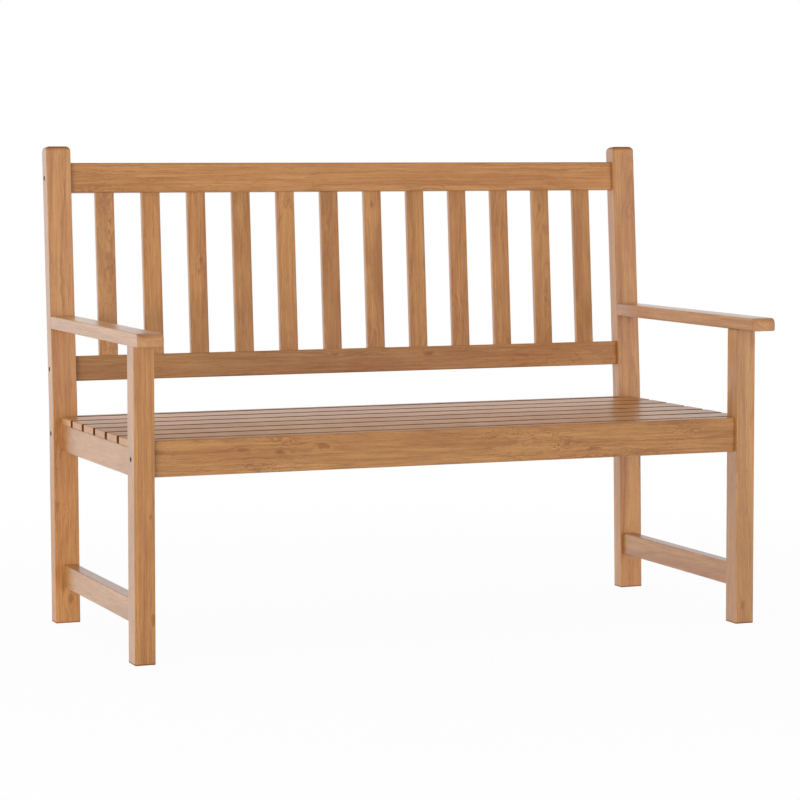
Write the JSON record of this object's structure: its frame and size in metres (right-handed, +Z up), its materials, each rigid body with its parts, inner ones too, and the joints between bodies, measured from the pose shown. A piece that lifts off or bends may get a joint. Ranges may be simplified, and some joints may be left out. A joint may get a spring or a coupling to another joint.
{
  "type": "slatted garden bench",
  "caption": "Wooden garden bench with a slatted seat, an upright slatted back and flat armrests.",
  "frame": {"origin": "on the floor, in the middle of the bench's outline", "axes": "+Z up, +X to the right as seen from the front along the bench's length, front faces -Y"},
  "size_m": [1.221, 0.6138, 0.8891],
  "materials": {
    "frame_wood": "satin clear oil",
    "slat_wood": "satin clear oil",
    "dowel_wood": "bare, fluteless",
    "steel": "zinc plated"
  },
  "bodies": {
    "root": {"front_leg_left": "frame_wood", "front_leg_right": "frame_wood", "back_post_left": "frame_wood", "back_post_right": "frame_wood", "side_rail_left": "frame_wood", "side_rail_right": "frame_wood", "stretcher_left": "frame_wood", "stretcher_right": "frame_wood", "armrest_left": "frame_wood", "armrest_right": "frame_wood", "front_seat_rail": "frame_wood", "rear_seat_rail": "frame_wood", "centre_bearer": "frame_wood", "back_lower_rail": "frame_wood", "back_top_rail": "frame_wood", "back_slat_01": "slat_wood", "back_slat_02": "slat_wood", "back_slat_03": "slat_wood", "back_slat_04": "slat_wood", "back_slat_05": "slat_wood", "back_slat_06": "slat_wood", "back_slat_07": "slat_wood", "back_slat_08": "slat_wood", "back_slat_09": "slat_wood", "back_slat_10": "slat_wood", "back_slat_11": "slat_wood", "back_slat_12": "slat_wood", "seat_slat_1": "slat_wood", "seat_slat_2": "slat_wood", "seat_slat_3": "slat_wood", "seat_slat_4": "slat_wood", "seat_slat_5": "slat_wood", "seat_slat_6": "slat_wood", "rail_dowels": "dowel_wood", "arm_dowels": "dowel_wood", "rail_bolts": "steel", "barrel_nuts": "steel", "slat_screws": "steel"}
  },
  "joints": []
}
